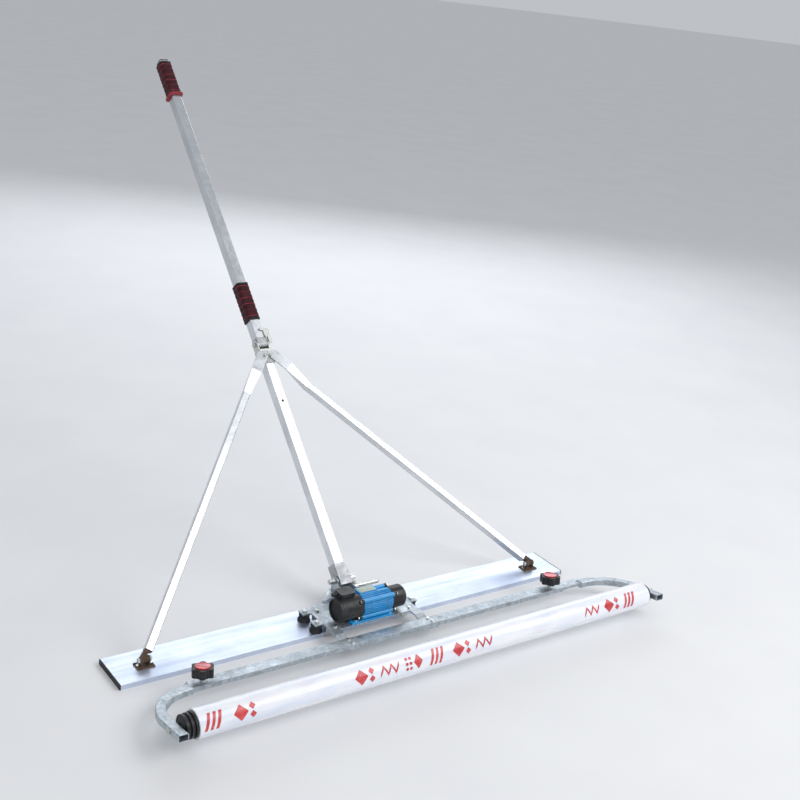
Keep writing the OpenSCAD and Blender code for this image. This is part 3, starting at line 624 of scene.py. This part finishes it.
def grip_flange():
    profile = ((-5, GRIP_HOLE, 2), (-5, 22.5, 10), (-4.2, 24.4, 10.6), (-2.5, 25, 11), (1, 25, 11),
               (2.4, 24.2, 10.6), (3, 22, 10), (3, GRIP_HOLE, 2))
    handle_piece("grip_flange", [square_ring(GRIP_UPPER + z, half, corner) for z, half, corner in profile],
                 "foam_ring")


# ---- domed red discs of the clamp knobs, in the cross-bar's frame ----
KNOB_X = 0.585
BAR_TOP, KNOB_RISE, KNOB_HEIGHT, DISC_SINK = 0.006, 0.016, 0.023, 0.0002
DISC_SIDES, DISC_STEPS = 64, 8
DISC_SHOULDER_R = 0.0184


def disc_profile():
    """Radius and height, from the rim over the shoulder to the top of the dome."""
    profile = [(0.0185, -0.0012), (0.0196, 0.0), (0.0199, 0.0016)]
    for k in range(DISC_STEPS + 1):
        a = math.radians(90 * k / DISC_STEPS)
        profile.append((DISC_SHOULDER_R + 0.0012 * math.cos(a), 0.0022 + 0.0010 * math.sin(a)))
    for k in range(1, DISC_STEPS):
        t = k / DISC_STEPS
        profile.append((DISC_SHOULDER_R * (1 - t), 0.0032 + 0.0011 * math.sin(math.pi / 2 * t)))
    return profile


def knob_disc(label, side, body):
    base = BAR_TOP + KNOB_RISE + KNOB_HEIGHT - DISC_SINK
    rings = [[(side * KNOB_X + r * math.cos(a), r * math.sin(a), base + z) for a in circle(DISC_SIDES)]
             for r, z in disc_profile()]
    verts, faces = join_rings(rings)
    piece(f"knob_disc_{label}", verts, faces, "red_plastic", body, place=BAR,
          stands_for=(f"knob_cap_{label}",))


# ---- weld beads between the damper brackets and the rails ----
PLATE_LOW, WELD_SINK = 0.036, 0.0004
WELD_X, WELD_Y, WELD_R = (0.122, 0.140), -0.0662, 0.0013
BEAD_STEP = 0.0012


def weld_bead(name, a, b):
    """A ripple of weld from a to b, thin at both ends."""
    along = (b - a).normalized()
    side = along.orthogonal().normalized()
    up = along.cross(side)
    count = max(6, int((b - a).length / BEAD_STEP))
    rings = []
    for i in range(count + 1):
        swell = WELD_R * (0.82 + 0.18 * math.sin(i * 1.9)) * (0.35 if i in (0, count) else 1)
        mid = a + (b - a) * (i / count)
        rings.append([mid + (side * math.cos(q) + up * math.sin(q)) * swell for q in circle(10)])
    verts, faces = join_rings(rings)
    piece(name, verts, faces, "galvanised_steel", "chassis")


# ---- all the visible pieces ----
film_roll()
motif()
grip("grip_foam_lower", GRIP_LOWER, "grip_lower")
grip("grip_foam_upper", GRIP_UPPER, "grip_upper", flange=True)
grip_flange()
knob_disc("left", -1, "clamp_l")
knob_disc("right", 1, "clamp_r")
for label, side in (("left", -1), ("right", 1)):
    weld_bead(f"weld_bracket_{label}", *(Vector((side * x, WELD_Y, PLATE_LOW - WELD_SINK)) for x in WELD_X))

# ---- floor and light ----
FLOOR_R, FLOOR_SIDES = 45.0, 96
LIGHTS = (
    ("key", (2.3, -2.2, 3.2), (0, 0, 0.4), (3.2, 2.6), 78, (1, 1, 1)),
    ("front", (-1.2, -3.0, 2.6), (0, 0, 0.2), (2.0, 1.6), 20, (1, 1, 1)),
    ("left", (-3.4, -0.6, 2.0), (0, 0.3, 0.4), (1.6, 1.6), 5, (0.93, 0.96, 1.0)),
    ("back", (2.4, 3.6, 2.4), (0, 0.1, 0.1), (4.4, 2.6), 66, (0.9, 0.94, 1.0)),
)
SKY_COLOR, SKY_STRENGTH = (0.92, 0.95, 1.0, 1), 0.56


def stage():
    low = cad_box[0].z
    mesh = bpy.data.meshes.new("floor")
    mesh.from_pydata([(FLOOR_R * math.cos(a), FLOOR_R * math.sin(a), low) for a in circle(FLOOR_SIDES)], [],
                     [tuple(range(FLOOR_SIDES))])
    m = Mat("floor", rough=0.85)
    m.base(m.noise(3, 3), (0.80, 0.80, 0.805), (0.83, 0.83, 0.83))
    m.bump(m.noise(120, 3), 0.03, 0.0002)
    mesh.materials.append(m.done(0.0001))
    floor = bpy.data.objects.new("floor", mesh)
    bpy.context.scene.collection.objects.link(floor)


def area(name, place, target, size, power, color):
    light = bpy.data.lights.new(name, "AREA")
    light.shape = "RECTANGLE"
    light.size, light.size_y = size
    light.energy = power
    light.color = color
    obj = bpy.data.objects.new(name, light)
    obj.location = place
    obj.rotation_mode = "QUATERNION"
    obj.rotation_quaternion = (Vector(target) - Vector(place)).to_track_quat("-Z", "Y")
    bpy.context.scene.collection.objects.link(obj)


def sky():
    world = bpy.data.worlds.new("studio")
    world.use_nodes = True
    background = world.node_tree.nodes["Background"]
    background.inputs["Color"].default_value = SKY_COLOR
    background.inputs["Strength"].default_value = SKY_STRENGTH
    bpy.context.scene.world = world


stage()
for light_row in LIGHTS:
    area(*light_row)
sky()
bpy.context.scene.view_settings.view_transform = "Standard"
